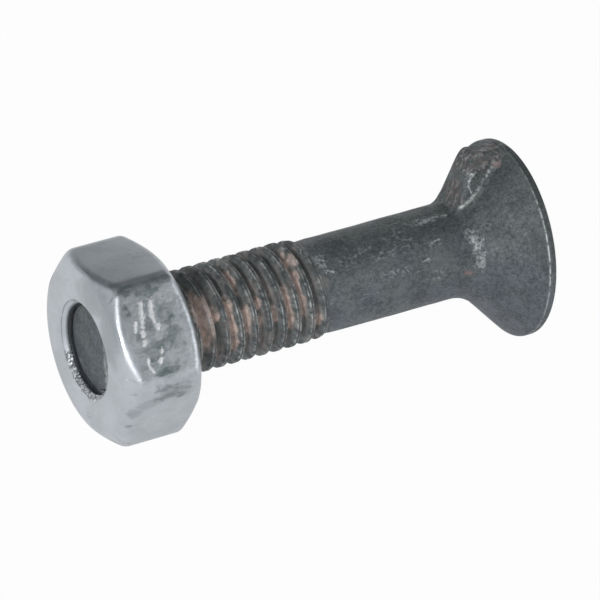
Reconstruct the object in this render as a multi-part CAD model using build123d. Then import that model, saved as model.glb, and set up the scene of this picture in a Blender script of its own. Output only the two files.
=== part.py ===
from build123d import *
import math
import os

# A plow bolt with its hex nut run part of the way on, in millimetres.
# The bolt's axis lies along X. The flat of the head is at x = 0 and faces +X.
# The thread and the nut are at the -X end, and the nib under the head points up, +Z.

# Bolt, forged and rolled in one piece
bolt_length = 44.5              # flat of the head to the thread's end
shank_diameter = 9.25           # unthreaded part
head_diameter = 19.4
rim_thickness = 0.75            # straight edge of the head
cone_half_angle = 47.0          # degrees, between the cone and the bolt's axis
neck_radius = 4.7               # round flow from the shank into the cone
rim_edge_break = 0.15           # small chamfer between the rim and the flat

# Nib, the key under the head that stops the bolt from turning
nib_turn = 3.0                  # degrees, from +Z towards +Y
nib_top_width = 2.2
nib_draft = 9.0                 # degrees, each side
nib_drop = 0.1                  # top of the nib below the head's edge
nib_reach = 6.85                # flat of the head to the foot of the nib's end
nib_end_slope = 28.5            # degrees, the end of the nib off square
nib_end_rounding = 1.0
nib_edge_rounding = 0.45

# Thread, as rings one pitch apart: the right-hand helix is left to scene.py
thread_diameter = 9.8           # over the crests
thread_pitch = 1.5
thread_length = 23.5            # bolt's end to where the thread has died out
thread_angle = 60.0             # degrees, between the flanks
thread_depth_ratio = 0.6134     # depth of the bolt's thread over its pitch
crest_ratio = 0.125             # flat of the crest over the pitch
run_out_length = 1.2            # from the last full crest to the plain shank
end_chamfer = 0.9

# Nut
nut_across_flats = 16.9
nut_height = 8.0
nut_overrun = 0.9               # outer face of the nut beyond the bolt's end
nut_corner_rounding = 1.6
nut_chamfer_angle = 30.0        # degrees, between the chamfer and the nut's face
nut_outer_face_diameter = 14.9  # inside the chamfer that is away from the head
nut_inner_face_diameter = 15.2  # inside the chamfer that is towards the head
nut_bore_clearance = 0.08       # radial, between the crests and the nut's plain bore
nut_mouth_chamfer = 0.3

# Worked out from the sizes above
shank_radius = shank_diameter / 2
head_radius = head_diameter / 2
crest_radius = thread_diameter / 2
thread_depth = thread_depth_ratio * thread_pitch
root_radius = crest_radius - thread_depth
bolt_end = -bolt_length
thread_end = bolt_end + thread_length
nut_outer_face = bolt_end - nut_overrun
nut_inner_face = nut_outer_face + nut_height
bore_radius = crest_radius + nut_bore_clearance
crest_half = crest_ratio * thread_pitch / 2
flank_width = thread_depth * math.tan(math.radians(thread_angle / 2))


def turned(*points):
    """A solid turned about the X axis from an outline of (x, radius) points."""
    return revolve(make_face(Polyline(*points, close=True)), Axis.X).solids()[0]


def thread_outline():
    """Ridges of the thread, from one pitch beyond the bolt's end to the last full crest."""
    full_length = thread_length - run_out_length - end_chamfer - crest_half
    last_crest = math.floor(full_length / thread_pitch)
    points = []
    for number in range(-1, last_crest + 1):
        crest = bolt_end + end_chamfer + number * thread_pitch
        points += [
            (crest - crest_half - flank_width, root_radius),
            (crest - crest_half, crest_radius),
            (crest + crest_half, crest_radius),
            (crest + crest_half + flank_width, root_radius),
        ]
    return points


def turned_body():
    """Thread, shank, round neck, cone and rim in one turned outline."""
    half_angle = math.radians(cone_half_angle)
    cone_back = -rim_thickness
    sharp_corner = cone_back - (head_radius - shank_radius) / math.tan(half_angle)
    tangent = neck_radius * math.tan(half_angle / 2)
    neck_start = sharp_corner - tangent
    neck_end = (
        sharp_corner + tangent * math.cos(half_angle),
        shank_radius + tangent * math.sin(half_angle),
    )
    neck_middle = (
        neck_start + neck_radius * math.sin(half_angle / 2),
        shank_radius + neck_radius * (1 - math.cos(half_angle / 2)),
    )
    thread = thread_outline()
    outline = [
        Polyline(
            (0, head_radius - rim_edge_break),
            (0, 0),
            (thread[0][0], 0),
            *thread,
            (thread_end, shank_radius),
            (neck_start, shank_radius),
        ),
        ThreePointArc((neck_start, shank_radius), neck_middle, neck_end),
        Polyline(
            neck_end,
            (cone_back, head_radius),
            (-rim_edge_break, head_radius),
            (0, head_radius - rim_edge_break),
        ),
    ]
    return revolve(make_face(outline), Axis.X).solids()[0]


def end_cutter():
    """What the chamfered end of the thread takes away."""
    spare = 2 * thread_pitch
    inner = crest_radius - end_chamfer
    return turned(
        (bolt_end - spare, 0),
        (bolt_end, 0),
        (bolt_end, inner),
        (bolt_end + 2 * end_chamfer, inner + 2 * end_chamfer),
        (bolt_end - spare, inner + 2 * end_chamfer),
    )


def nib():
    """The drafted key under the head, from inside the shank to the rim."""
    top = head_radius - nib_drop
    foot = shank_radius / 2
    draft = math.tan(math.radians(nib_draft))
    slope = math.tan(math.radians(nib_end_slope))
    top_half = nib_top_width / 2
    foot_half = top_half + (top - foot) * draft
    nib_back = -rim_thickness / 2
    end_at_foot = -nib_reach - (shank_radius - foot) * slope
    end_at_top = -nib_reach + (top - shank_radius) * slope
    across = make_face(
        Polyline(
            (end_at_foot - 1, -foot_half, foot),
            (end_at_foot - 1, foot_half, foot),
            (end_at_foot - 1, top_half, top),
            (end_at_foot - 1, -top_half, top),
            close=True,
        )
    )
    bar = extrude(across, amount=nib_back - end_at_foot + 1, dir=(1, 0, 0))
    side = make_face(
        Polyline(
            (end_at_foot, -foot_half, foot),
            (end_at_top, -foot_half, top),
            (nib_back, -foot_half, top),
            (nib_back, -foot_half, foot),
            close=True,
        )
    )
    key = (bar & extrude(side, amount=2 * foot_half, dir=(0, 1, 0))).solids()[0]
    brow = key.edges().filter_by(Axis.Y).sort_by(Axis.Z)[-2:].sort_by(Axis.X)[0]
    key = key.fillet(nib_end_rounding, [brow])
    square = key.edges().filter_by(Axis.Y)
    sides = [
        edge
        for edge in key.edges()
        if edge not in square and edge.center().Z > shank_radius and edge.center().X < -rim_thickness
    ]
    key = key.fillet(nib_edge_rounding, sides)
    return key.rotate(Axis.X, -nib_turn)


def make_bolt():
    return turned_body() - end_cutter() + nib()


def make_nut():
    """Hex nut with both faces chamfered and a plain bore that clears the crests."""
    flats = RegularPolygon(nut_across_flats / 2, 6, major_radius=False)
    blank_plane = Plane(origin=(nut_outer_face, 0, 0), x_dir=(0, 1, 0), z_dir=(1, 0, 0))
    blank = extrude(blank_plane * flats, amount=nut_height)
    blank = blank.fillet(nut_corner_rounding, blank.edges().filter_by(Axis.X))
    slope = math.tan(math.radians(nut_chamfer_angle))
    outer_radius = nut_outer_face_diameter / 2
    inner_radius = nut_inner_face_diameter / 2
    widest = nut_across_flats
    middle = nut_outer_face + nut_height / 2
    chamfers = turned(
        (nut_outer_face, 0),
        (nut_outer_face, outer_radius),
        (nut_outer_face + (widest - outer_radius) * slope, widest),
        (nut_inner_face - (widest - inner_radius) * slope, widest),
        (nut_inner_face, inner_radius),
        (nut_inner_face, 0),
    )
    mouth_radius = bore_radius + nut_mouth_chamfer
    bore = turned(
        (nut_outer_face - nut_mouth_chamfer, 0),
        (nut_outer_face - nut_mouth_chamfer, mouth_radius + nut_mouth_chamfer),
        (nut_outer_face + nut_mouth_chamfer, bore_radius),
        (nut_inner_face - nut_mouth_chamfer, bore_radius),
        (nut_inner_face + nut_mouth_chamfer, mouth_radius + nut_mouth_chamfer),
        (nut_inner_face + nut_mouth_chamfer, 0),
    )
    return (blank & chamfers) - bore


os.makedirs("parts", exist_ok=True)
export_step(make_bolt(), "parts/bolt.step")
export_step(make_nut(), "parts/nut.step")
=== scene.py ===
import math

import bpy
from mathutils import Matrix, Vector, noise


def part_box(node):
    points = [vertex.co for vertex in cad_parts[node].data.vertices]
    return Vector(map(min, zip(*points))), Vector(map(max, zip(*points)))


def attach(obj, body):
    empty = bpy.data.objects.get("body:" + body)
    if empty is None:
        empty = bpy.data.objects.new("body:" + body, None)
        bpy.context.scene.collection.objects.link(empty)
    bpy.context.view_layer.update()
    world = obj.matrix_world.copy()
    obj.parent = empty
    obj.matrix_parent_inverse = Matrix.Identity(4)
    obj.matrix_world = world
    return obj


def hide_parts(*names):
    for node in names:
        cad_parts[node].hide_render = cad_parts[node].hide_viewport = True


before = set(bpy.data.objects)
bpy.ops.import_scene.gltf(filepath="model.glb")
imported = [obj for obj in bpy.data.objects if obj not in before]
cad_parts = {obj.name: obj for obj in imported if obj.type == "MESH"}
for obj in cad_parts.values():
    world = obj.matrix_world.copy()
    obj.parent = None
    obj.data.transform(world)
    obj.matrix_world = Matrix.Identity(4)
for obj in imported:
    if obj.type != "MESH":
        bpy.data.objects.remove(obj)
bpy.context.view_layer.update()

mm = 0.001
nutLow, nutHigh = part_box("nut")
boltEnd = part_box("bolt")[0].x / mm     # end of the thread, in millimetres
nutOuter = nutLow.x / mm               # face of the nut away from the head
nutInner = nutHigh.x / mm
print("frame loaded, bolt end", round(boltEnd, 2), "nut", round(nutOuter, 2), round(nutInner, 2))


# Small helpers. All sizes below are in millimetres along the bolt's axis, X.

def pick(piece):
    bpy.ops.object.select_all(action="DESELECT")
    piece.select_set(True)
    bpy.context.view_layer.objects.active = piece


def startEdit(select=None):
    bpy.ops.object.mode_set(mode="EDIT")
    if select:
        bpy.ops.mesh.select_all(action=select)


def endEdit():
    bpy.ops.object.mode_set(mode="OBJECT")


def drawOutline(name, points):
    # one vertex, extruded from point to point, each (along the axis, radius)
    bpy.ops.mesh.primitive_plane_add(size=mm)
    piece = bpy.context.object
    piece.name = name
    startEdit("SELECT")
    bpy.ops.mesh.select_mode(type="VERT")
    bpy.ops.mesh.merge(type="CENTER")
    spot = Vector((points[0][0], points[0][1], 0))
    bpy.ops.transform.translate(value=spot * mm)
    for along, radius in points[1:]:
        step = Vector((along, radius, 0)) - spot
        bpy.ops.mesh.extrude_region_move(TRANSFORM_OT_translate={"value": step * mm})
        spot += step
    endEdit()
    return piece


def applyModifiers(piece):
    pick(piece)
    for modifier in list(piece.modifiers):
        bpy.ops.object.modifier_apply(modifier=modifier.name)


def weld(piece):
    pick(piece)
    startEdit("SELECT")
    bpy.ops.mesh.remove_doubles(threshold=0.0005 * mm)
    bpy.ops.mesh.normals_make_consistent(inside=False)
    endEdit()


def turnOutline(piece, steps, turns=1, pitch=0.0):
    screw = piece.modifiers.new("turn", "SCREW")
    screw.axis = "X"
    screw.angle = math.radians(360)
    screw.screw_offset = pitch * mm
    screw.iterations = turns
    screw.steps = steps
    screw.render_steps = steps
    applyModifiers(piece)
    weld(piece)
    return piece


def cutAcross(piece, place, keep, fill=True):
    pick(piece)
    startEdit("SELECT")
    bpy.ops.mesh.bisect(
        plane_co=(place * mm, 0, 0), plane_no=(1, 0, 0), use_fill=fill, threshold=0.0001 * mm,
        clear_inner=keep == "head side", clear_outer=keep == "nut side",
    )
    endEdit()


def moveAcross(spot):
    bpy.ops.transform.translate(value=(0, spot[0] * mm, spot[1] * mm))
    bpy.ops.object.transform_apply(location=True)


def combine(piece, tool, operation):
    cut = piece.modifiers.new("combine", "BOOLEAN")
    cut.operation = operation
    cut.solver = "EXACT"
    cut.object = tool
    applyModifiers(piece)
    bpy.data.objects.remove(tool)


def reshape(piece, rule):
    # rule takes (along, angle from +Y towards +Z, radius) and gives a new (along, radius)
    for vertex in piece.data.vertices:
        place = vertex.co / mm
        radius = math.hypot(place.y, place.z)
        if radius < 0.001:
            continue
        along, newRadius = rule(place.x, math.atan2(place.z, place.y), radius)
        scale = newRadius / radius
        vertex.co = Vector((along, place.y * scale, place.z * scale)) * mm


def paintWear(piece, rule):
    # rule takes (along, angle, radius) and gives 0 to 1, kept where more was painted before
    wear = piece.data.attributes.get("wear") or piece.data.attributes.new("wear", "FLOAT", "POINT")
    for vertex, mark in zip(piece.data.vertices, wear.data):
        place = vertex.co / mm
        radius = math.hypot(place.y, place.z)
        mark.value = max(mark.value, rule(place.x, math.atan2(place.z, place.y), radius))


def ease(value, start, end):
    part = min(1.0, max(0.0, (value - start) / (end - start)))
    return part * part * (3 - 2 * part)


def softMin(first, second, blend):
    overlap = max(blend - abs(first - second), 0) / blend
    return min(first, second) - overlap * overlap * blend / 4


def softMax(first, second, blend):
    return -softMin(-first, -second, blend)


def arcPoints(middle, radius, startAngle, endAngle, count):
    angles = [startAngle + (endAngle - startAngle) * k / count for k in range(count + 1)]
    return [(middle[0] + radius * math.cos(a), middle[1] + radius * math.sin(a)) for a in angles]


def spread(start, end, step):
    # points from start up to, but without, end
    count = max(1, round(math.dist(start, end) / step))
    return [
        (start[0] + (end[0] - start[0]) * k / count, start[1] + (end[1] - start[1]) * k / count)
        for k in range(count)
    ]


# The thread, drawn as one pitch of its section and turned with the Screw modifier

threadValues = {
    "pitch": 1.5,
    "crestPhase": -33.61,         # a crest's place along the axis on the +Y side
    "crestRadius": 4.98,
    "rootRadius": 4.13,
    "crestWidth": 0.36,
    "seamDepth": 0.035,           # shallow rolled groove in the middle of the crest
    "turns": 17,
    "stepsPerTurn": 144,
    "endRadius": 4.0,             # small end of the chamfer
    "fadeStart": -23.5,           # where the thread begins to die out on top of the bolt
    "fadeLag": 0.6,               # how much later it does so underneath
    "fadeEnd": -20.95,
}


def threadSection():
    v = threadValues
    half = v["pitch"] / 2
    crestHalf = v["crestWidth"] / 2
    side = [
        (half, v["rootRadius"]), (half - 0.09, v["rootRadius"] + 0.02),
        (half - 0.16, v["rootRadius"] + 0.09), (crestHalf + 0.045, v["crestRadius"] - 0.07),
        (crestHalf - 0.02, v["crestRadius"]), (crestHalf * 0.45, v["crestRadius"] - 0.008),
        (0, v["crestRadius"] - v["seamDepth"]),
    ]
    return [(-along, radius) for along, radius in side] + side[-2::-1]


def threadFade(along, angle):
    v = threadValues
    lag = v["fadeLag"] * (0.5 - 0.5 * math.cos(angle - math.radians(70)))
    return ease(along, v["fadeStart"] + lag, v["fadeEnd"] - v["fadeLag"] + lag)


def makeThread(shankRadius):
    v = threadValues
    turnsBack = math.ceil((v["crestPhase"] - v["pitch"] / 2 - boltEnd + 1.5 * v["pitch"]) / v["pitch"])
    firstCrest = v["crestPhase"] - turnsBack * v["pitch"]
    thread = drawOutline("thread", [(firstCrest + along, radius) for along, radius in threadSection()])
    turnOutline(thread, v["stepsPerTurn"], v["turns"], v["pitch"])

    def wornThread(along, angle, radius):
        spot = Vector((along, math.cos(angle) * 5, math.sin(angle) * 5))
        crest = ease(radius, v["crestRadius"] - 0.2, v["crestRadius"])
        radius -= crest * 0.05 * max(0.0, noise.noise(spot * 1.1))
        radius -= crest * 0.10 * max(0.0, noise.noise(spot * 2.3) - 0.25)
        chamfer = v["endRadius"] + max(0.0, along - boltEnd)
        radius = min(radius, chamfer)
        radius += (shankRadius - radius) * threadFade(along, angle)
        return along, radius

    reshape(thread, wornThread)
    cutAcross(thread, boltEnd, "head side")
    cutAcross(thread, v["fadeEnd"] + 0.02, "nut side", fill=False)
    print("thread turned,", len(thread.data.vertices), "points")
    return thread


# Shank, neck, cone and rim, drawn as an outline and turned, then the nib pulled out of the cone

headValues = {
    "shankRadius": 4.59,
    "neckShankRadius": 4.64,      # the shank is a little thicker where it meets the neck
    "neckRadius": 4.7,
    "coneAngle": 47.0,            # degrees, off the axis
    "rimRadius": 9.66,
    "rimThickness": 0.7,
    "rimSoftness": 0.1,
    "steps": 384,
    "lean": (0.036, 0.023),       # the head's plane leans, per millimetre of Y and of Z
    "shift": (0.11, -0.32, -0.265),   # the head's middle, off its place on the shank's axis
    "shankBow": -0.075,           # the shank hangs a little between thread and neck
}

nibValues = {
    "turn": 3.0,                  # degrees, from +Z towards +Y
    "topHalf": 1.15,
    "farHalf": 1.45,              # the far side is wider, so the outline at the brow says
    "draft": 10.0,
    "top": 9.62,
    "rise": 0.07,                 # the top climbs from the rim to the brow
    "reach": -6.3,
    "endSlope": 21.5,
    "sideRounding": 1.3,
    "browRounding": 1.1,
    "creaseRounding": 0.8,
    "flash": 0.07,                # thin raised line along the crease, left by the dies
}


def headOutline():
    v = headValues
    half = math.radians(v["coneAngle"])
    soft = v["rimSoftness"]
    back = -v["rimThickness"]
    shank = v["neckShankRadius"]
    corner = back - (v["rimRadius"] - shank) / math.tan(half)
    tangent = v["neckRadius"] * math.tan(half / 2)
    neckStart = (corner - tangent, shank)
    neckMiddle = (corner - tangent, shank + v["neckRadius"])
    neck = arcPoints(neckMiddle, v["neckRadius"], -math.pi / 2, -math.pi / 2 + half, 16)
    backMiddle = (back + soft * 0.6, v["rimRadius"] - soft)
    rimBack = arcPoints(backMiddle, soft, math.pi / 2 + half, math.pi / 2, 5)
    rimFront = arcPoints((-soft, v["rimRadius"] - soft), soft, math.pi / 2, 0, 5)
    start = (threadValues["fadeEnd"] + 0.12, v["shankRadius"])
    return (
        spread(start, neckStart, 0.4) + neck[:-1] + spread(neck[-1], rimBack[0], 0.16)
        + [(rimBack[0][0] - 0.04, rimBack[0][1] - 0.043)] + rimBack
        + [(back + 0.14, v["rimRadius"]), (back + 0.24, v["rimRadius"])] + rimFront
        + spread((0, v["rimRadius"] - soft - 0.3), (0, 0.5), 0.6) + [(0, 0)]
    )


def nibRadius(along, angle):
    v = nibValues
    turn = math.pi / 2 - angle - math.radians(v["turn"])
    if math.cos(turn) < 0.5:
        return 0
    draft = math.tan(math.radians(v["draft"]))
    half = v["topHalf"] if turn < 0 else v["farHalf"]
    side = (half + v["top"] * draft) / (abs(math.sin(turn)) + draft * math.cos(turn))
    top = (v["top"] + v["rise"] * max(0.0, -along - headValues["rimThickness"])) / math.cos(turn)
    slope = math.tan(math.radians(v["endSlope"]))
    end = (headValues["shankRadius"] + (along - v["reach"]) / slope) / math.cos(turn)
    limit = headValues["rimRadius"] - 0.02 + 0.4 * max(0.0, -along - headValues["rimThickness"])
    return min(softMin(softMin(top, end, v["browRounding"]), side, v["sideRounding"]), limit)


def headWearAndHighlights(along, angle, radius):
    # bright lines on the back edge of the rim and along the nib's creases: painted highlights kept in the
    # wear, partly real wear on the rim
    rim = math.exp(-(((along + headValues["rimThickness"]) / 0.05) ** 2)) * ease(radius, 9.0, 9.4)
    rim *= 0.25 + 0.75 * max(0.0, math.cos(angle - math.radians(162))) ** 4     # strongest above the middle
    crease = 0
    if -6.4 < along < -1.2:
        crease = math.exp(-(((nibRadius(along, angle) - radius - 0.5) / 0.16) ** 2))
        steepness = nibRadius(along + 0.5, angle) - nibRadius(along, angle)     # only the nib's end is steep
        crease *= ease(along, -1.2, -2.4) * (1 - ease(steepness, 0.15, 0.6))
    return max(rim, crease)


def makeBolt():
    v = headValues
    thread = makeThread(v["shankRadius"])
    head = turnOutline(drawOutline("head", headOutline()), v["steps"])
    rimStart = -v["rimThickness"]

    def pulledNib(along, angle, radius):
        if not -9 < along < rimStart * 0.3 or radius < 3:
            return along, radius
        nib = nibRadius(along, angle)
        flash = nibValues["flash"] * math.exp(-(((nib - radius - 0.45) / 0.25) ** 2))
        flash *= ease(along, rimStart, rimStart - 1)
        return along, softMax(radius, nib, nibValues["creaseRounding"]) + flash

    # the crease and rim lines go into the wear as painted highlights
    paintWear(head, headWearAndHighlights)
    reshape(head, pulledNib)

    pick(head)
    thread.select_set(True)
    bpy.ops.object.join()
    bolt = bpy.context.object
    bolt.name = "bolt_forged"
    startEdit("DESELECT")
    bpy.ops.mesh.select_mode(type="EDGE")
    bpy.ops.mesh.select_non_manifold(extend=False, use_wire=False, use_multi_face=False, use_verts=False)
    bpy.ops.mesh.bridge_edge_loops()
    bpy.ops.mesh.select_mode(type="FACE")
    bpy.ops.mesh.select_all(action="DESELECT")
    endEdit()
    # the flat, without its edge
    for face in bolt.data.polygons:
        middle = face.center / mm
        face.select = middle.x > -0.001 and middle.length < v["rimRadius"] - 1
    startEdit()
    bpy.ops.mesh.dissolve_faces()
    endEdit()
    weld(bolt)

    def forgedSkin(along, angle, radius):
        spot = Vector((along, math.cos(angle) * radius, math.sin(angle) * radius))
        body = ease(along, threadValues["fadeStart"], threadValues["fadeEnd"] + 1.5)
        edge = 1 - ease(along, rimStart - 0.3, rimStart)
        radius += body * edge * (0.035 * noise.noise(spot * 0.33) + 0.012 * noise.noise(spot * 1.1))
        return along, radius

    reshape(bolt, forgedSkin)
    for vertex in bolt.data.vertices:
        along = vertex.co.x / mm
        lean = Vector((v["lean"][0] * vertex.co.y + v["lean"][1] * vertex.co.z, 0, 0))
        bow = v["shankBow"] * (ease(along, -23, -19) - ease(along, -9.5, -6.5))
        vertex.co += (lean + Vector(v["shift"]) * mm) * ease(along, -9.5, -1.2) + Vector((0, 0, bow)) * mm
    print("bolt joined,", len(bolt.data.vertices), "points")
    return bolt


# The nut, a hex bar with rounded corners, turned chamfers and a tapped bore

nutValues = {
    "acrossFlats": 17.0,
    "cornerOffset": 0.92,         # how far the corners' rounding reaches along each flat
    "middle": (-0.04, -0.17),     # the hexagon's middle in Y and Z, a little off the bore
    "outerMiddle": (-0.04, -0.04),
    "outerFace": 7.86,            # radius where the chamfer starts, away from the head
    "outerChamfer": 35.0,         # degrees, between the chamfer and the face
    "outerSoftness": 1.4,
    "innerFace": 7.72,            # and towards the head
    "innerChamfer": 30.0,
    "innerSoftness": 0.35,
    "innerMiddle": (-0.26, -0.54),    # the inner chamfer was cut off centre
    "edgeRounding": 0.5,
    "mouthRadius": 4.75,
    "minorRadius": 4.3,
    "tapRadius": 5.1,
    "tapCrest": 0.19,
    "steps": 200,
}


def softCorner(before, corner, after, radius, count):
    # an arc that touches both lines of a corner
    first = (Vector(before) - Vector(corner)).normalized()
    second = (Vector(after) - Vector(corner)).normalized()
    half = first.angle(second) / 2
    reach = radius / math.tan(half)
    middle = Vector(corner) + (first + second).normalized() * (radius / math.sin(half))
    start = Vector(corner) + first * reach - middle
    end = Vector(corner) + second * reach - middle
    startAngle = math.atan2(start.y, start.x)
    turn = (math.atan2(end.y, end.x) - startAngle + math.pi) % (2 * math.pi) - math.pi
    return arcPoints(middle, radius, startAngle, startAngle + turn, count)


def makeTap():
    v = nutValues
    pitch = threadValues["pitch"]
    half = pitch / 2
    depth = v["tapRadius"] - v["minorRadius"]
    crestHalf = v["tapCrest"] / 2
    rootHalf = half - crestHalf - depth * math.tan(math.radians(30))
    side = [
        (half, v["minorRadius"] - 0.05), (half - rootHalf + 0.03, v["minorRadius"] - 0.05),
        (crestHalf, v["tapRadius"]),
    ]
    section = [(-along, radius) for along, radius in side] + side[::-1]
    first = threadValues["crestPhase"] - 10 * pitch
    tap = drawOutline("tap", [(first + along, radius) for along, radius in section])
    turnOutline(tap, 96, 10, pitch)

    def mouthTaper(along, angle, radius):
        inset = min(along - nutOuter, nutInner - along)
        return along, min(radius, v["mouthRadius"] - 0.1 + max(0.0, inset) * 0.55)

    reshape(tap, mouthTaper)
    cutAcross(tap, nutOuter - 0.6, "head side")
    cutAcross(tap, nutInner + 0.6, "nut side")
    weld(tap)
    return tap


def makeNut():
    v = nutValues
    length = nutInner - nutOuter
    middle = (nutOuter + nutInner) / 2
    bpy.ops.mesh.primitive_cylinder_add(
        vertices=6, radius=v["acrossFlats"] / 2 / math.cos(math.radians(30)) * mm, depth=length * mm,
        location=(middle * mm, 0, 0), rotation=(0, math.radians(90), 0),
    )
    nut = bpy.context.object
    nut.name = "nut_tapped"
    bpy.ops.object.transform_apply(location=True, rotation=True, scale=True)
    startEdit("DESELECT")
    bpy.ops.mesh.select_mode(type="EDGE")
    endEdit()
    for edge in nut.data.edges:
        ends = [nut.data.vertices[k].co for k in edge.vertices]
        edge.select = abs(ends[0].x - ends[1].x) > length * mm / 2
    startEdit()
    bpy.ops.mesh.bevel(offset=v["cornerOffset"] * mm, segments=8, affect="EDGES")
    endEdit()

    moveAcross(v["middle"])

    widest = v["acrossFlats"] * 0.75
    outerWide = (nutOuter + (widest - v["outerFace"]) * math.tan(math.radians(v["outerChamfer"])), widest)
    innerWide = (nutInner - (widest - v["innerFace"]) * math.tan(math.radians(v["innerChamfer"])), widest)
    outer = softCorner((nutOuter, 0), (nutOuter, v["outerFace"]), outerWide, v["outerSoftness"], 8)
    inner = softCorner(innerWide, (nutInner, v["innerFace"]), (nutInner, 0), v["innerSoftness"], 6)
    outerTurn = [(nutOuter, 0)] + outer + [outerWide, (nutInner + 1, widest), (nutInner + 1, 0)]
    innerTurn = [(nutOuter - 1, 0), (nutOuter - 1, widest), innerWide] + inner + [(nutInner, 0)]
    for outline, middle in ((outerTurn, v["outerMiddle"]), (innerTurn, v["innerMiddle"])):
        chamfer = turnOutline(drawOutline("chamfer", outline), v["steps"])
        moveAcross(middle)
        combine(nut, chamfer, "INTERSECT")

    soften = nut.modifiers.new("soften", "BEVEL")
    soften.width = v["edgeRounding"] * mm
    soften.segments = 4
    soften.limit_method = "ANGLE"
    soften.angle_limit = math.radians(40)
    soften.use_clamp_overlap = False
    applyModifiers(nut)

    reach = v["mouthRadius"] - v["minorRadius"]
    bore = drawOutline("bore", [
        (nutOuter - 0.5, 0), (nutOuter - 0.5, v["mouthRadius"] + 0.5),
        (nutOuter + reach, v["minorRadius"]), (nutInner - reach, v["minorRadius"]),
        (nutInner + 0.5, v["mouthRadius"] + 0.5), (nutInner + 0.5, 0),
    ])
    combine(nut, turnOutline(bore, 120), "DIFFERENCE")
    combine(nut, makeTap(), "DIFFERENCE")

    def burredMouth(along, angle, radius):
        # torn metal on the lower side of the mouth
        place = math.degrees(angle) % 360
        window = ease(place, 235, 262) * (1 - ease(place, 325, 345))
        window *= 1 - ease(along, nutOuter + 1, nutOuter + 1.6)
        if radius > v["mouthRadius"] - 0.03 or window == 0:
            return along, radius
        spot = Vector((along, math.cos(angle) * 4.5, math.sin(angle) * 4.5))
        bead = noise.noise(spot * 1.9) + 0.6 * noise.noise(spot * 4.3)
        return along - 0.06 * window * max(0.0, bead), radius - 0.26 * window * max(0.0, bead)

    reshape(nut, burredMouth)
    print("nut cut,", len(nut.data.vertices), "points")
    return nut


# Materials. Groups make the masks, and each material mixes its own colours with them.
# Places inside the materials are in millimetres.

def labelOf(word):
    # grainScale becomes Grain Scale
    return "".join(" " + letter if letter.isupper() else letter for letter in word).title()


def newGroup(name, rule, **inputs):
    # rule takes the inputs in this order and gives the group's one output, a mask
    group = bpy.data.node_groups.new(name, "ShaderNodeTree")
    for word, value in inputs.items():
        kind = "NodeSocketVector" if isinstance(value, tuple) else "NodeSocketFloat"
        group.interface.new_socket(labelOf(word), in_out="INPUT", socket_type=kind).default_value = value
    group.interface.new_socket("Mask", in_out="OUTPUT", socket_type="NodeSocketFloat")
    given = group.nodes.new("NodeGroupInput").outputs[:len(inputs)]
    feed(group.nodes.new("NodeGroupOutput").inputs["Mask"], rule(*given))
    return group


def feed(socket, value):
    # a socket takes either a link or a plain value
    if isinstance(value, bpy.types.NodeSocket):
        socket.id_data.links.new(value, socket)
    elif isinstance(value, tuple) and len(value) == 3 and socket.type == "RGBA":
        socket.default_value = (*value, 1)
    else:
        socket.default_value = value


def fill(node, *values):
    # in the order of the node's inputs
    for socket, value in zip(node.inputs, values):
        feed(socket, value)


def newNode(kind, *values):
    # made in the tree that the values come from
    tree = next(value.id_data for value in values if isinstance(value, bpy.types.NodeSocket))
    return tree.nodes.new(kind)


def math1(operation, first, second=0.0, clamp=False):
    node = newNode("ShaderNodeMath", first, second)
    node.operation = operation
    node.use_clamp = clamp
    fill(node, first, second)
    return node.outputs[0]


def times(first, second):
    return math1("MULTIPLY", first, second)


def strongest(masks):
    total = masks[0]
    for mask in masks[1:]:
        total = math1("MAXIMUM", total, mask)
    return total


def math3(operation, first, second=(0, 0, 0)):
    node = newNode("ShaderNodeVectorMath", first, second)
    node.operation = operation
    fill(node, first, second)
    return node.outputs["Value" if operation in ("LENGTH", "DOT_PRODUCT") else "Vector"]


def rangeOf(value, low, high, newLow=0.0, newHigh=1.0):
    node = newNode("ShaderNodeMapRange", value)
    node.interpolation_type = "SMOOTHSTEP"
    fill(node, value, low, high, newLow, newHigh)
    return node.outputs["Result"]


def grainOf(place, scale, detail=2.0, roughness=0.5):
    # moved off the origin, where the noise's layers would line up in rays
    node = newNode("ShaderNodeTexNoise", place)
    feed(node.inputs["Vector"], math3("ADD", place, (71.3, 38.9, 54.7)))
    feed(node.inputs["Scale"], scale)
    node.inputs["Detail"].default_value = detail
    node.inputs["Roughness"].default_value = roughness
    return node.outputs["Fac"]


def grainMask(place, scale, detail, *limits):
    return rangeOf(grainOf(place, scale, detail), *limits)


def mixNumber(amount, first, second, kind="FLOAT"):
    node = newNode("ShaderNodeMix", amount, first, second)
    node.data_type = kind
    for label, value in (("Factor", amount), ("A", first), ("B", second)):
        feed(node.inputs[label], value)
    return node.outputs["Result"]


def mixColour(amount, first, second):
    return mixNumber(amount, first, second, "RGBA")


def cloudMask(place, cloudScale, grainScale, grainShare):
    # soft clouds with a finer grain on top
    grain = grainOf(place, grainScale, 4.0, 0.65)
    return rangeOf(mixNumber(grainShare, grainOf(place, cloudScale, 3.0), grain), 0.36, 0.64)


def patchMask(place, middle, size, raggedness, grainScale):
    # one patch with a torn edge
    reach = math3("LENGTH", math3("DIVIDE", math3("SUBTRACT", place, middle), size))
    torn = times(math1("SUBTRACT", grainOf(place, grainScale, 5.0, 0.6), 0.5), raggedness)
    return rangeOf(math1("ADD", reach, times(torn, 2.0)), 0.6, 1.2, 1.0, 0.0)


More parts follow.
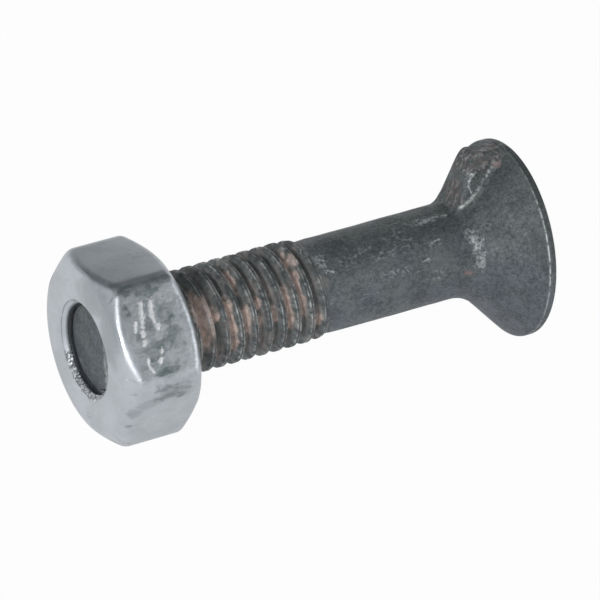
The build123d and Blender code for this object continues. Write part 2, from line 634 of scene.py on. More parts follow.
def strokeMask(place, start, end, width, wobble):
    # a short nick from start to end
    along = math3("SUBTRACT", end, start)
    away = math3("SUBTRACT", place, start)
    reached = math3("DOT_PRODUCT", away, along)
    share = math1("DIVIDE", reached, math3("DOT_PRODUCT", along, along), clamp=True)
    distance = math3("LENGTH", math3("SUBTRACT", away, math3("MULTIPLY", along, share)))
    wander = rangeOf(grainOf(place, 3.6, 3.0), 0.35, 0.65, 0.5, 1.9)
    near = math1("DIVIDE", times(distance, mixNumber(wobble, 1.0, wander)), width)
    return rangeOf(near, 0.1, 1.4, 1.0, 0.0)


def scratchMask(place, stretch, threshold, softness):
    # thin broken lines along one direction
    lines = grainOf(math3("MULTIPLY", place, stretch), 1.0, 2.0)
    broken = mixNumber(0.25, lines, grainOf(place, 1.1, 3.0))
    return rangeOf(broken, threshold, math1("ADD", threshold, softness))


def wearMask(place, wear, grainScale, amount):
    # bare metal where the painted wear is strong, broken up by grain; the wear also carries painted
    # highlights
    grain = grainOf(place, grainScale, 4.0, 0.6)
    kept = math1("SUBTRACT", grain, math1("SUBTRACT", 1.0, amount))
    return times(wear, rangeOf(kept, -0.12, 0.12))


origin = (0, 0, 0)
cloudGroup = newGroup(
    "metalClouds", cloudMask, place=origin, cloudScale=0.4, grainScale=3.0, grainShare=0.4
)
patchGroup = newGroup(
    "raggedPatch", patchMask, place=origin, middle=origin, size=(1, 1, 1), raggedness=0.9, grainScale=1.5
)
strokeGroup = newGroup(
    "nickStroke", strokeMask, place=origin, start=origin, end=(1, 0, 0), width=0.1, wobble=1.0
)
scratchGroup = newGroup(
    "fineScratches", scratchMask, place=origin, stretch=(1, 8, 8), threshold=0.62, softness=0.06
)
wearGroup = newGroup("edgeWearAndHighlight", wearMask, place=origin, wear=0.0, grainScale=2.0, amount=0.5)


def useGroup(group, *values):
    node = newNode("ShaderNodeGroup", *values)
    node.node_tree = group
    fill(node, *values)
    return node.outputs["Mask"]


def patchesOf(place, spots, raggedness, grainScale):
    # spots: (middle, size)
    return strongest([useGroup(patchGroup, place, *spot, raggedness, grainScale) for spot in spots])


def strokesOf(place, strokes, wobble):
    # strokes: (start, end, half width)
    return strongest([useGroup(strokeGroup, place, *stroke, wobble) for stroke in strokes])


def roundAxis(spots, radius):
    # (place along, degrees from +Y towards +Z, size along, size around) as (middle, size)
    turned = []
    for along, degrees, wide, length in spots:
        angle = math.radians(degrees)
        middle = (along, radius * math.cos(angle), radius * math.sin(angle))
        turned.append((middle, (wide, length, length)))
    return turned


def coat(colour, mask, share, over):
    # a colour laid over another, up to its share where the mask is full
    return mixColour(times(mask, share), colour, over)


def strongestOf(shares, **masks):
    return strongest([times(mask, shares[word]) for word, mask in masks.items()])


def startMaterial(name):
    material = bpy.data.materials.new(name)
    material.use_nodes = True
    tree = material.node_tree
    where = tree.nodes.new("ShaderNodeTexCoord").outputs["Object"]
    place = math3("MULTIPLY", where, (1000, 1000, 1000))      # metres to millimetres
    parts = newNode("ShaderNodeSeparateXYZ", place)
    fill(parts, place)
    radius = math3("LENGTH", math3("MULTIPLY", place, (0, 1, 1)))
    return material, tree, place, parts.outputs, radius


def finishMaterial(tree, colour, rough, metal, sizes, **heights):
    # heights are masks, the last one nearest the surface, and sizes their full heights in millimetres
    shader = tree.nodes["Principled BSDF"]
    for label, value in (("Base Color", colour), ("Roughness", rough), ("Metallic", metal)):
        feed(shader.inputs[label], value)
    normal = None
    for word, mask in heights.items():
        bump = tree.nodes.new("ShaderNodeBump")
        bump.inputs["Distance"].default_value = abs(sizes[word]) * mm
        bump.invert = sizes[word] < 0
        feed(bump.inputs["Height"], mask)
        if normal:
            feed(bump.inputs["Normal"], normal)
        normal = bump.outputs["Normal"]
    feed(shader.inputs["Normal"], normal)


boltLook = {
    # dark scale, also the colour of the painted shade on the nib and on the bolt's end
    "darkScaleAndShade": (0.064, 0.074, 0.080),
    "scaleGreen": (0.180, 0.203, 0.203),
    "scaleBlue": (0.163, 0.182, 0.211),
    "speck": (0.30, 0.33, 0.34),
    "crest": (0.060, 0.068, 0.070),
    "threadBrown": (0.30, 0.265, 0.25),
    "grooveGreen": (0.10, 0.115, 0.114),
    "rust": (0.72, 0.57, 0.50),
    "rustDark": (0.50, 0.385, 0.345),
    "pinkRust": (0.36, 0.24, 0.235),
    "nibBrown": (0.150, 0.126, 0.120),
    "nibPale": (0.38, 0.335, 0.325),
    # bare steel, also the colour of the painted glints and highlights
    "bareSteelAndGlint": (0.60, 0.63, 0.63),
    "clouds": (0.45, 2.4, 0.6),       # scale, scale of the grain on top, and its share
    "grain": (4.2, 8.0, 0.5),
    "tint": (0.16, 1.0),              # scale and detail
    "bluer": (1.5, 0.035),            # below this height, and how fast
    "roots": 4.55,                    # radius that the rust patches lie on
    "crests": 4.8,
    "wear": (2.0, 0.55),              # scale and amount
    "wander": (0.8, 1.9, 1.9),
    "shares": {
        # how far each layer hides the one below
        "specks": 0.7, "brownRoots": 0.55, "brownDrifts": 0.7,
        "darkCrests": (0.9, 0.5),     # on plain and on brown crests
        "greenGrooves": 0.6, "rustSheet": 0.85, "nibDark": 0.65, "nibShade": 0.2, "nibPale": 0.5,
        "pinkSpots": 0.6, "paintedEndShade": 0.2,
        "paintedRimShade": (0.15, 0.65),      # below and above
        "palePlaces": 0.6, "scuffs": 0.75,
    },
    "bareAndGlintShares": {"nicks": 0.8, "scratches": 0.2, "palePlaces": 0.3},
    "roughness": {"scale": (0.66, 0.52), "bareSteelAndGlint": 0.36, "rust": 0.85},
    "metallic": {"scale": 0.5, "thread": 0.3, "bareSteelAndGlint": 0.65, "rust": 0.1},
    "heights": {
        "clouds": 0.03, "rolled": 0.12, "grain": 0.018, "rust": 0.03, "scratches": -0.008, "nicks": 0.03,
    },
    "ranges": {
        # (start, end), or (start, end, value at start, value at end)
        "tint": (0.4, 0.6),
        "root": (4.35, 4.7, 1.0, 0.0),    # these four are radii
        "groove": (4.62, 4.86, 1.0, 0.0), "crest": (4.5, 4.8), "deep": (4.5, 4.72, 1.0, 0.0),
        "rimRadius": (9.2, 9.5), "rimAlong": (-0.75, -0.5), "rimHeight": (-1.0, 3.0),
        "wander": (0.02, 0.09, 1.0, 0.0),
    },
    "grains": {
        # (scale, detail) and then a range
        "specks": (6.5, 2.0, 0.66, 0.76), "brown": (0.55, 3.0, 0.46, 0.6),
        "green": (0.42, 2.0, 0.40, 0.55), "rustDrift": (0.7, 2.0, 0.3, 0.7, -0.22, 0.22),
        "rustFlakes": (2.0, 3.0, 0.36, 0.5, 0.65, 1.0), "palePlaces": (3.4, 3.0, 0.38, 0.62),
        "scuffs": (2.4, 3.0, 0.45, 0.58), "nicks": (3.2, 2.0, 0.36, 0.5, 0.25, 1.0),
    },
    "lines": {
        # (stretch, threshold, softness)
        "nibStreaks": ((1.0, 1.0, 2.2), 0.40, 0.2),
        "nibDark": ((1.9, 2.6, 0.8), 0.48, 0.1),
        "nibPale": ((1.5, 3.4, 1.0), 0.54, 0.05),
        "lightStreaks": ((0.9, 2.6, 2.6), 0.52, 0.08),
        "scratches": ((0.8, 7, 7), 0.62, 0.05),
    },
    "rustPatches": [
        # (place along, degrees from +Y towards +Z, size along, size around)
        (-35.2, 140, 0.85, 2.0), (-35.0, 168, 0.8, 1.9), (-34.4, 120, 0.5, 1.0),
        (-33.8, 152, 0.45, 0.9), (-30.95, 112, 0.45, 1.5), (-30.6, 170, 0.45, 1.4),
        (-32.3, 146, 0.5, 1.2), (-32.2, 172, 0.5, 1.6), (-32.05, 197, 0.45, 1.2),
        (-29.2, 152, 0.35, 0.8), (-29.2, 176, 0.35, 1.0), (-27.7, 172, 0.4, 1.0),
        (-24.9, 106, 0.5, 1.3), (-24.55, 138, 0.5, 1.3), (-24.65, 165, 0.5, 1.9),
        (-26.2, 160, 0.5, 1.4), (-26.1, 184, 0.45, 1.2), (-23.05, 196, 0.5, 0.9),
        (-34.0, -60, 0.7, 2.2), (-29.3, -40, 0.5, 2.6), (-25.0, -75, 0.4, 1.8),
        (-27.8, 45, 0.4, 1.6),
    ],
    "rustSheet": [
        # the same, for rust over groove and crest alike
        (-35.0, 146, 1.05, 2.0), (-34.8, 166, 0.9, 1.7), (-24.3, 112, 0.5, 0.8),
    ],
    "pinkSpots": [
        # (middle, size)
        ((-1.55, -1.3, 8.35), (0.5, 0.5, 0.4)),
        ((-6.82, -4.69, -0.44), (0.45, 0.4, 0.33)),
    ],
    "nib": ((-2.6, 0.6, 8.6), (3.2, 2.3, 2.2)),
    "nibFoot": ((-6.0, -0.1, 5.8), (1.3, 1.5, 1.5)),
    "nicks": [
        # (start, end, half width)
        ((-4.76, -1.39, 7.07), (-4.23, -1.24, 7.8), 0.15), ((-4.76, -1.39, 7.07), (-4.62, -1.6, 6.2), 0.12),
        ((-4.1, -1.2, 7.85), (-3.0, -1.0, 8.4), 0.09), ((-10.3, -1.4, 4.38), (-9.0, -1.25, 4.42), 0.2),
        ((-8.8, -1.1, 4.47), (-8.0, -1.2, 4.45), 0.12), ((-10.1, -3.4, 3.08), (-9.2, -3.3, 3.17), 0.08),
        ((-11.6, -4.2, 1.8), (-10.8, -4.15, 1.95), 0.07), ((-21.9, -2.2, 4.0), (-21.0, -2.6, 3.75), 0.08),
        ((-21.4, -3.3, 3.15), (-20.8, -3.5, 2.95), 0.08), ((-22.1, -1.8, 4.2), (-21.8, -2.7, 3.7), 0.09),
        ((-21.7, -2.9, 3.5), (-21.5, -3.5, 2.95), 0.07),
    ],
    "glints": [
        # (middle, size), small painted glints, the first two on the neck
        ((-5.9, -4.2, 2.65), (0.2, 0.3, 0.35)), ((-5.8, -4.5, 2.1), (0.15, 0.25, 0.45)),
        ((-4.23, -1.24, 7.82), (0.26, 0.3, 0.24)), ((-7.35, -1.3, 4.46), (0.35, 0.2, 0.2)),
    ],
    "scuffs": [
        # (middle, size), thin wandering marks on the shank
        ((-17.7, -2.5, 3.8), (1.9, 0.8, 0.7)), ((-13.1, -1.85, 4.15), (1.7, 0.8, 0.5)),
        ((-15.3, -3.1, 3.3), (1.4, 0.7, 0.8)), ((-13.2, -3.15, 3.3), (2.0, 0.9, 1.0)),
        ((-10.2, -3.6, 2.85), (1.4, 0.5, 0.5)), ((-14.5, -4.3, 1.5), (1.8, 0.4, 0.5)),
        ((-10.1, -4.6, 0.1), (1.3, 0.4, 0.6)), ((-10.7, -1.4, 4.3), (1.8, 0.7, 0.5)),
        ((-19.3, -3.0, 3.4), (1.0, 0.8, 0.8)), ((-15.0, 3.2, 3.3), (2.4, 1.0, 1.0)),
        ((-12.0, 3.6, -2.8), (2.0, 1.0, 1.0)),
    ],
    "palePlaces": [
        # (middle, size), the first three a painted highlight on the neck, the rest paler places on the shank
        ((-5.9, -4.0, 2.9), (0.7, 0.8, 0.9)), ((-5.6, -4.6, 1.9), (0.75, 0.6, 1.2)),
        ((-5.6, -4.95, 0.8), (0.6, 0.5, 1.1)), ((-9.3, -1.25, 4.42), (1.9, 0.5, 0.4)),
        ((-9.6, -1.3, 4.42), (1.4, 0.35, 0.3)), ((-21.7, -2.4, 3.8), (0.6, 0.8, 0.9)),
        ((-22.9, -1.3, 4.7), (0.5, 0.8, 0.4)),
    ],
}


def boltMaterial():
    v = boltLook
    shares, ranges, grains, lines = v["shares"], v["ranges"], v["grains"], v["lines"]
    material, tree, place, parts, radius = startMaterial("forgedScale")
    along = parts["X"]
    clouds = useGroup(cloudGroup, place, *v["clouds"])
    grain = useGroup(cloudGroup, place, *v["grain"])
    # the scale turns bluer towards the lower side
    height, rate = v["bluer"]
    lean = times(math1("SUBTRACT", height, parts["Z"]), rate)
    tint = rangeOf(math1("ADD", grainOf(place, *v["tint"]), lean), *ranges["tint"])
    light = mixColour(tint, v["scaleGreen"], v["scaleBlue"])
    colour = mixColour(mixNumber(0.5, clouds, grain), v["darkScaleAndShade"], light)
    specks = grainMask(place, *grains["specks"])
    colour = coat(colour, specks, shares["specks"], v["speck"])

    # brown roots, dark crests and green grooves on the threaded rod
    onRod = rangeOf(along, threadValues["fadeStart"] + 0.6, threadValues["fadeEnd"], 1.0, 0.0)
    onRod = times(onRod, rangeOf(along, boltEnd, boltEnd + 0.6))
    root = times(onRod, rangeOf(radius, *ranges["root"]))
    groove = times(onRod, rangeOf(radius, *ranges["groove"]))
    crest = times(onRod, rangeOf(radius, *ranges["crest"]))
    brown = times(onRod, grainMask(place, *grains["brown"]))
    green = times(groove, grainMask(place, *grains["green"]))
    colour = coat(colour, root, shares["brownRoots"], v["threadBrown"])
    colour = coat(colour, brown, shares["brownDrifts"], v["threadBrown"])
    colour = coat(colour, crest, mixNumber(brown, *shares["darkCrests"]), v["crest"])
    colour = coat(colour, green, shares["greenGrooves"], v["grooveGreen"])

    # rust, mostly down in the grooves
    drift = grainMask(place, *grains["rustDrift"])
    deep = rangeOf(math1("ADD", radius, drift), *ranges["deep"])
    patches = patchesOf(place, roundAxis(v["rustPatches"], v["roots"]), 1.0, 1.1)
    sheets = patchesOf(place, roundAxis(v["rustSheet"], v["crests"]), 1.0, 0.9)
    flakes = grainMask(place, *grains["rustFlakes"])
    rust = strongest([times(patches, times(onRod, deep)), times(sheets, shares["rustSheet"])])
    rust = times(rust, flakes)
    tone = rangeOf(grainOf(place, 1.6, 5.0, 0.75), 0.35, 0.62)
    colour = mixColour(rust, colour, mixColour(tone, v["rustDark"], v["rust"]))

    # brushed brown and dark lines on the nib
    onNib = patchesOf(place, [v["nib"]], 0.8, 0.8)
    nib = strongest([onNib, patchesOf(place, [v["nibFoot"]], 0.9, 1.0)])
    colour = coat(colour, nib, useGroup(scratchGroup, place, *lines["nibStreaks"]), v["nibBrown"])
    darkLines = times(useGroup(scratchGroup, place, *lines["nibDark"]), nib)
    nibDark = strongestOf(shares, nibDark=darkLines, nibShade=onNib)
    colour = mixColour(nibDark, colour, v["darkScaleAndShade"])
    paleLines = times(useGroup(scratchGroup, place, *lines["nibPale"]), nib)
    colour = coat(colour, paleLines, shares["nibPale"], v["nibPale"])

    spots = patchesOf(place, v["pinkSpots"], 1.7, 2.6)
    colour = coat(colour, spots, shares["pinkSpots"], v["pinkRust"])
    # painted shade on the bolt's end, down in the nut's mouth
    onEnd = rangeOf(along, boltEnd + 0.1, boltEnd)
    colour = coat(colour, onEnd, shares["paintedEndShade"], v["darkScaleAndShade"])
    # painted shade on the rim, stronger on its upper side
    onRim = times(rangeOf(radius, *ranges["rimRadius"]), rangeOf(along, *ranges["rimAlong"]))
    upper = rangeOf(parts["Z"], *ranges["rimHeight"])
    colour = coat(colour, onRim, mixNumber(upper, *shares["paintedRimShade"]), v["crest"])

    # pale and bare places, with painted highlights and glints
    palePlaces = strongest([
        patchesOf(place, v["palePlaces"], 1.3, 1.4),
        times(onNib, useGroup(scratchGroup, place, *lines["lightStreaks"])),
    ])
    palePlaces = times(palePlaces, grainMask(place, *grains["palePlaces"]))
    colour = coat(colour, palePlaces, shares["palePlaces"], v["speck"])
    wander = grainOf(math3("MULTIPLY", place, v["wander"]), 1.0, 2.0)
    wander = math1("ABSOLUTE", math1("SUBTRACT", wander, 0.5))
    wander = rangeOf(wander, *ranges["wander"])
    wander = times(wander, grainMask(place, *grains["scuffs"]))
    scuffs = times(wander, patchesOf(place, v["scuffs"], 1.2, 1.2))
    colour = coat(colour, scuffs, shares["scuffs"], v["speck"])
    # nicks, with the painted glints
    nicks = strongest([strokesOf(place, v["nicks"], 1.0), patchesOf(place, v["glints"], 1.2, 3.0)])
    nicks = times(nicks, grainMask(place, *grains["nicks"]))
    scratches = useGroup(scratchGroup, place, *lines["scratches"])
    paintedAttribute = tree.nodes.new("ShaderNodeAttribute")
    paintedAttribute.attribute_name = "wear"
    # bare metal, with the painted glints and highlights
    bareAndGlints = strongest([
        useGroup(wearGroup, place, paintedAttribute.outputs["Fac"], *v["wear"]),
        strongestOf(v["bareAndGlintShares"], nicks=nicks, scratches=scratches, palePlaces=palePlaces),
    ])
    colour = mixColour(bareAndGlints, colour, v["bareSteelAndGlint"])

    rough, metal = v["roughness"], v["metallic"]
    anyRust = strongest([rust, spots])
    roughness = mixNumber(bareAndGlints, mixNumber(clouds, *rough["scale"]), rough["bareSteelAndGlint"])
    roughness = mixNumber(anyRust, roughness, rough["rust"])
    metallic = mixNumber(onRod, metal["scale"], metal["thread"])
    metallic = mixNumber(bareAndGlints, metallic, metal["bareSteelAndGlint"])
    metallic = mixNumber(anyRust, metallic, metal["rust"])
    rolled = times(onRod, grainOf(place, 1.4, 4.0, 0.65))
    finishMaterial(
        tree, colour, roughness, metallic, v["heights"],
        clouds=clouds, rolled=rolled, grain=grain, rust=rust, scratches=scratches, nicks=nicks,
    )
    return material


nutLook = {
    "zinc": (0.50, 0.528, 0.565),
    "zincDull": (0.43, 0.458, 0.49),
    # dark green grey, for smears and scuffs and for painted shade and painted reflections
    "smearAndShade": (0.13, 0.168, 0.172),
    # white, for pale clouds and scratches and for painted highlights
    "bright": (0.95, 0.96, 0.97),
    # dark colour for the painted shade in the bore, and for the ring and the pits round the mouth
    "boreShadeAndDirt": (0.10, 0.112, 0.12),
    "clouds": (0.28, 1.1, 0.35),      # scale, scale of the grain on top, and its share
    "grain": (3.0, 7.0, 0.5),
    "paleClouds": (1.3, 3.0, 0.4),
    "shares": {
        # how far each layer hides the one below
        "scuffs": (0.08, 0.42),       # elsewhere and on the middle flat in front
        # painted shade on the face and the three flats, and the oval's painted reflection
        "shades": 0.36, "topFlat": 0.2, "middleFlat": 0.3, "lowFlat": 0.12, "oldPatch": 0.34,
        "paintedEdgeReflection": 0.5, "streaks": (0.35, 0.95), "smearsAndShadows": (0.65, 1.0), "pale": 0.14,
        "darkMouthRing": 0.55, "bore": 0.85, "torn": 0.7, "scratches": 0.12, "nicks": 0.75,
    },
    "roughness": (0.36, 0.44),
    "smearAndBoreRoughness": 0.55,
    "metallic": 0.9,
    "heights": {"clouds": 0.012, "pale": 0.012, "grain": 0.004, "dents": -0.12, "torn": -0.04, "nicks": 0.02},
    "ranges": {
        # (start, end), or (start, end, value at start, value at end)
        "front": (-4.2, -5.2),        # across, then three heights and three radii
        "middleFlat": (-0.6, 0.6), "lowFlat": (0.3, -0.9), "topFlat": (7.7, 8.1),
        "ringStart": (4.66, 4.74), "ringEnd": (4.78, 4.88), "bore": (4.32, 4.5, 1.0, 0.0),
        "pits": (0.52, 0.42), "beads": (0.52, 0.64, 0.0, 0.7),
    },
    "lines": {
        # (stretch, threshold, softness)
        "scuffs": ((0.45, 0.8, 0.8), 0.46, 0.16),
        "streaks": ((0.6, 1.1, 1.1), 0.42, 0.16),
        "scratches": ((0.6, 5, 5), 0.60, 0.08),
    },
    "nicks": [
        # (start, end, half width), painted highlights on dents in the middle flat, and two small marks on the
        # face
        ((-42.35, -5.95, 6.6), (-42.6, -6.6, 5.5), 0.27), ((-42.6, -6.6, 5.5), (-42.8, -7.0, 4.8), 0.2),
        ((-42.9, -7.25, 4.4), (-42.98, -7.4, 4.1), 0.26), ((-43.0, -7.7, 3.55), (-43.05, -7.8, 3.35), 0.26),
        ((-41.38, -5.95, 6.6), (-41.6, -6.6, 5.45), 0.27), ((-41.6, -6.6, 5.45), (-41.5, -6.95, 4.9), 0.2),
        ((-41.3, -7.1, 4.6), (-41.35, -7.2, 4.4), 0.28), ((-41.5, -8.25, 2.65), (-41.6, -8.35, 2.45), 0.22),
        ((-41.8, -8.6, 2.0), (-41.95, -8.75, 1.75), 0.24), ((-43.1, -8.5, 2.2), (-43.15, -8.8, 1.6), 0.2),
        ((-43.15, -8.8, 1.6), (-42.9, -9.1, 1.1), 0.16), ((-43.3, -6.7, 5.3), (-43.6, -7.1, 4.5), 0.17),
        ((-45.4, -1.7, 3.98), (-45.38, -1.35, 4.25), 0.09), ((-45.3, -8.28, 0.5), (-45.3, -8.33, 0.4), 0.14),
    ],
    "paintedEdgeReflection": [
        # (start, end, half width), a painted dark reflection in the soft edges of the upper flat
        ((-44.6, 3.6, 8.3), (-45.1, 1.2, 8.2), 0.42), ((-45.1, 1.2, 8.2), (-45.1, -1.4, 8.2), 0.42),
        ((-45.1, -1.4, 8.2), (-44.8, -3.7, 8.2), 0.42), ((-44.8, -3.7, 8.2), (-43.6, -5.0, 8.1), 0.38),
        ((-43.6, -5.0, 8.1), (-38.6, -4.9, 8.1), 0.3),
    ],
    "shades": [
        # (middle, size)
        ((-45.4, -5.4, 4.0), (1.2, 2.2, 3.6)), ((-45.4, -2.4, 6.4), (1.2, 3.2, 2.0)),
        ((-42.9, -8.5, -2.3), (1.6, 0.7, 0.9)), ((-40.9, -9.0, -1.6), (1.4, 0.7, 1.1)),
        ((-44.5, -8.0, -3.3), (0.8, 0.7, 0.8)),
    ],
    # a mottled painted reflection on the upper flat
    "oldPatch": ((-39.9, 0.0, 8.33), (1.3, 1.8, 0.5)),
    "dents": [
        ((-45.4, -0.3, -6.75), (0.4, 0.4, 0.22)),
        ((-45.4, 3.0, 6.0), (0.4, 0.12, 0.12)),
    ],
    "smearsAndShadows": [
        # (middle, size), greenish smears, with painted shadows beside the dents and under the upper corner
        ((-43.4, -5.2, 7.8), (1.2, 0.55, 0.55)), ((-41.6, -5.4, 7.5), (1.6, 0.6, 0.6)),
        ((-39.4, -5.1, 8.0), (1.6, 0.5, 0.4)), ((-43.9, -6.3, 6.2), (0.5, 0.6, 1.0)),
        ((-42.0, -6.4, 5.9), (0.35, 0.5, 1.0)), ((-43.3, -7.5, 4.0), (0.4, 0.6, 1.0)),
        ((-42.2, -7.3, 4.4), (0.5, 0.7, 1.1)), ((-40.3, -6.7, 5.4), (0.9, 0.8, 1.3)),
        ((-39.9, -7.8, 3.4), (1.0, 0.7, 1.2)), ((-41.2, -8.0, 3.0), (1.5, 0.4, 0.7)),
        ((-42.3, -8.4, 2.2), (0.9, 0.4, 0.7)), ((-41.6, -9.2, 0.9), (2.2, 0.3, 0.35)),
        ((-41.4, -9.1, -1.5), (1.7, 0.9, 1.3)), ((-39.9, -9.0, -1.8), (1.3, 0.9, 1.5)),
        ((-44.6, -7.0, -5.1), (0.5, 0.4, 0.3)),
    ],
    "burrs": [328, 316, 300, 283, 265, 250],      # degrees round the mouth, from +Y towards +Z
}


def nutMaterial():
    v = nutLook
    shares, ranges, lines = v["shares"], v["ranges"], v["lines"]
    material, tree, place, parts, radius = startMaterial("zincPlate")
    clouds = useGroup(cloudGroup, place, *v["clouds"])
    grain = useGroup(cloudGroup, place, *v["grain"])
    colour = mixColour(clouds, v["zinc"], v["zincDull"])

    # the flats are more scuffed than the face, and painted shade darkens the flats and parts of the face
    onFlats = rangeOf(parts["X"], nutOuter + 0.6, nutOuter + 1.6)
    front = times(rangeOf(parts["Y"], *ranges["front"]), onFlats)
    middleFlat = times(front, rangeOf(parts["Z"], *ranges["middleFlat"]))
    lowFlat = times(onFlats, rangeOf(parts["Z"], *ranges["lowFlat"]))
    topFlat = rangeOf(parts["Z"], *ranges["topFlat"])
    scuffs = times(onFlats, useGroup(scratchGroup, place, *lines["scuffs"]))
    colour = coat(colour, scuffs, mixNumber(middleFlat, *shares["scuffs"]), v["smearAndShade"])
    # a mottled oval on the upper flat, a painted reflection
    oldPatch = patchesOf(place, [v["oldPatch"]], 0.3, 1.0)
    oldPatch = times(oldPatch, grainMask(place, 1.6, 3.0, 0.4, 0.6))
    # painted shade on the face and on the upper, middle and lower flats, with the oval's painted reflection
    shaded = strongestOf(
        shares, shades=patchesOf(place, v["shades"], 0.6, 0.5),
        topFlat=topFlat, middleFlat=middleFlat, lowFlat=lowFlat, oldPatch=oldPatch,
    )
    colour = mixColour(shaded, colour, v["smearAndShade"])
    # a painted dark reflection along the soft edges of the upper flat
    edges = strokesOf(place, v["paintedEdgeReflection"], 0.3)
    colour = coat(colour, edges, shares["paintedEdgeReflection"], v["smearAndShade"])
    # greenish smears, and painted shadows beside the dents and under the upper corner
    streaks = mixNumber(useGroup(scratchGroup, place, *lines["streaks"]), *shares["streaks"])
    smearsAndShadows = times(patchesOf(place, v["smearsAndShadows"], 1.4, 0.8), streaks)
    smearsAndShadows = times(smearsAndShadows, mixNumber(middleFlat, *shares["smearsAndShadows"]))
    colour = mixColour(smearsAndShadows, colour, v["smearAndShade"])
    pale = times(useGroup(cloudGroup, place, *v["paleClouds"]), middleFlat)
    colour = coat(colour, pale, shares["pale"], v["bright"])

    # painted shade in the bore, a darker ring round its mouth, and torn metal on the lower side
    ring = math1("SUBTRACT", rangeOf(radius, *ranges["ringStart"]), rangeOf(radius, *ranges["ringEnd"]))
    ring = times(ring, grainMask(place, 1.2, 2.0, 0.35, 0.5))
    # the bore is painted dark, as shade
    bore = rangeOf(radius, *ranges["bore"])
    colour = coat(colour, ring, shares["darkMouthRing"], v["boreShadeAndDirt"])
    colour = coat(colour, bore, shares["bore"], v["boreShadeAndDirt"])
    burrSpots = roundAxis([(-45.1, degrees, 0.7, 0.62) for degrees in v["burrs"]], 4.5)
    burrs = patchesOf(place, burrSpots, 0.6, 2.0)
    beads = grainOf(place, 4.0, 2.0)
    torn = times(burrs, rangeOf(beads, *ranges["pits"]))
    colour = coat(colour, torn, shares["torn"], v["boreShadeAndDirt"])

    # the beads on the burrs are painted highlights, laid on with the nicks
    burrs = times(burrs, rangeOf(beads, *ranges["beads"]))
    nicks = strongest([strokesOf(place, v["nicks"], 0.6), burrs])
    dents = patchesOf(place, v["dents"], 0.3, 2.0)
    scratches = useGroup(scratchGroup, place, *lines["scratches"])
    colour = coat(colour, scratches, shares["scratches"], v["bright"])
    colour = coat(colour, nicks, shares["nicks"], v["bright"])
    rough = mixNumber(grain, *v["roughness"])
    rough = mixNumber(strongest([smearsAndShadows, bore]), rough, v["smearAndBoreRoughness"])
    finishMaterial(
        tree, colour, rough, v["metallic"], v["heights"],
        clouds=clouds, pale=pale, grain=grain, dents=dents, torn=torn, nicks=nicks,
    )
    return material


bolt = makeBolt()
nut = makeNut()


def crestWear(along, angle, radius):
    # broken bright lines on both shoulders of each crest
    v = threadValues
    if along > v["fadeEnd"]:
        return 0
    turns = (along - v["crestPhase"]) / v["pitch"] - angle / (2 * math.pi)
    fromCrest = ((turns + 0.5) % 1 - 0.5) * v["pitch"]
    shoulder = v["crestWidth"] * 0.45
    spot = Vector((along * 0.5, math.cos(angle) * 4.5, math.sin(angle) * 4.5))
    line = 0.0
    for base, side, coarse, fine in (
        (0.4, shoulder, Vector((0, 0, 0)), Vector((0, 0, 0))),
        (0.5, -shoulder, Vector((7, 3, 5)), Vector((3, 9, 1))),
    ):
        strength = base + 0.9 * noise.noise(spot * 0.8 + coarse) + 0.9 * noise.noise(spot * 2.6 + fine)
        line = max(line, strength * math.exp(-(((fromCrest + side) / 0.06) ** 2)))
    return min(1.0, line) * (1 - 0.5 * threadFade(along, angle))


paintWear(bolt, crestWear)
for piece, material, limit in ((bolt, boltMaterial(), 40), (nut, nutMaterial(), 35)):
    piece.data.materials.clear()
    piece.data.materials.append(material)
    pick(piece)
    bpy.ops.object.shade_smooth_by_angle(angle=math.radians(limit))
print("materials set")

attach(bolt, "bolt")
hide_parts("bolt")
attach(nut, "nut")
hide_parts("nut")


# Floor, light and camera

viewValues = {
    "lens": 291.69,
    "place": (-0.217086, -0.359130, 0.209629),
    "forward": (0.423239, 0.781453, -0.458475),
    "right": (0.872707, -0.487582, -0.025429),
}


lightValues = {
    "room": ((0.9, 0.95, 1.0), 0.6),          # colour and strength of the soft light all round
    "card": (0.5, 0.9, 0.42),                 # the dark card above: height, radius, grey
    "floorWhite": 0.97,                       # the rest is left to the object's shadow
    "lamps": [
        # (name, place, size, power)
        ("keySoftbox", (-0.44, -0.34, 0.22), 0.13, 1.3),
        ("rightSoftbox", (0.45, -0.25, 0.05), 0.25, 0.5),
    ],
}


def showWhite(tree, shader, share):
    # camera, glossy and transmission rays see plain white instead of the shader, as far as share goes
    rays = tree.nodes.new("ShaderNodeLightPath")
    total = rays.outputs["Is Camera Ray"]
    for label in ("Is Glossy Ray", "Is Transmission Ray"):
        total = math1("ADD", total, rays.outputs[label], clamp=True)
    white = tree.nodes.new("ShaderNodeEmission")
    mix = tree.nodes.new("ShaderNodeMixShader")
    fill(mix, times(total, share), shader, white.outputs[0])
    return mix.outputs[0]


def addMatt(piece, name, grey, roughness):
    material = bpy.data.materials.new(name)
    material.use_nodes = True
    shader = material.node_tree.nodes["Principled BSDF"]
    shader.inputs["Base Color"].default_value = (grey, grey, grey, 1)
    shader.inputs["Roughness"].default_value = roughness
    piece.data.materials.append(material)
    return material.node_tree, shader


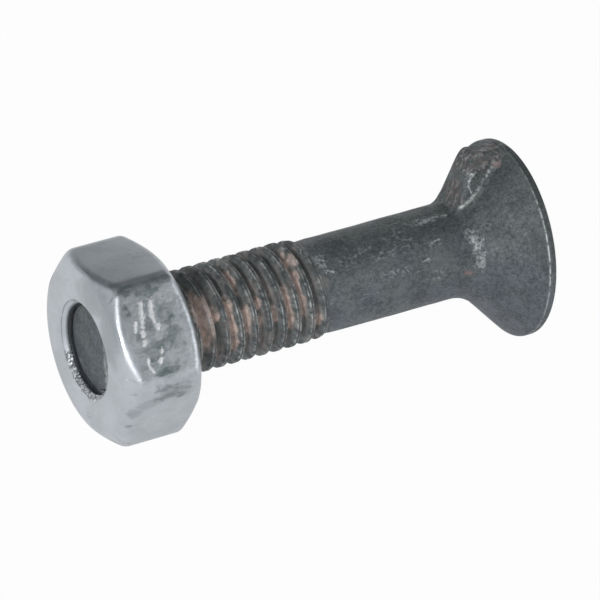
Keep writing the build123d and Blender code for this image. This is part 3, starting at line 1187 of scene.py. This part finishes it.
def addFloor():
    low = min(vertex.co.z for vertex in bolt.data.vertices)
    nutFlat = (nutValues["middle"][1] - nutValues["acrossFlats"] / 2) * mm
    slope = math.atan2(nutFlat - low, -nutOuter * mm)
    bpy.ops.mesh.primitive_plane_add(size=4, location=(0, 0, low), rotation=(0, slope, 0))
    floor = bpy.context.object
    floor.name = "floor"
    tree, paper = addMatt(floor, "paperFloor", 0.85, 0.9)
    white = showWhite(tree, paper.outputs[0], lightValues["floorWhite"])
    tree.links.new(white, tree.nodes["Material Output"].inputs["Surface"])


def addHolder(name, data):
    holder = bpy.data.objects.new(name, data)
    bpy.context.collection.objects.link(holder)
    return holder


def addLamp(name, place, size, power):
    lamp = bpy.data.lights.new(name, "AREA")
    lamp.shape = "DISK"
    lamp.size = size
    lamp.energy = power
    holder = addHolder(name, lamp)
    holder.location = place
    target = Vector((-0.022, 0, 0))
    holder.rotation_euler = (target - Vector(place)).to_track_quat("-Z", "Y").to_euler()


def addCard():
    # metal mirrors the dark card above it, as under a studio ceiling
    height, radius, grey = lightValues["card"]
    bpy.ops.mesh.primitive_circle_add(
        vertices=48, radius=radius, fill_type="NGON", location=(-0.022, 0, height)
    )
    card = bpy.context.object
    card.name = "ceiling_card"
    addMatt(card, "darkCard", grey, 0.95)


def addLight():
    world = bpy.data.worlds.new("studio")
    bpy.context.scene.world = world
    world.use_nodes = True
    tree = world.node_tree
    colour, strength = lightValues["room"]
    room = tree.nodes["Background"]
    room.inputs["Color"].default_value = (*colour, 1)
    room.inputs["Strength"].default_value = strength
    tree.links.new(showWhite(tree, room.outputs[0], 1.0), tree.nodes["World Output"].inputs["Surface"])
    for name, place, size, power in lightValues["lamps"]:
        addLamp(name, place, size, power)


def addCamera():
    v = viewValues
    forward = Vector(v["forward"]).normalized()
    right = Vector(v["right"]).normalized()
    up = right.cross(forward)
    lens = bpy.data.cameras.new("camera")
    lens.lens = v["lens"]
    lens.clip_start = 0.01
    camera = addHolder("camera", lens)
    turn = Matrix((right, up, -forward)).transposed().to_4x4()
    camera.matrix_world = Matrix.Translation(Vector(v["place"])) @ turn
    bpy.context.scene.camera = camera


addFloor()
addCard()
addLight()
addCamera()
bpy.context.scene.view_settings.view_transform = "Standard"
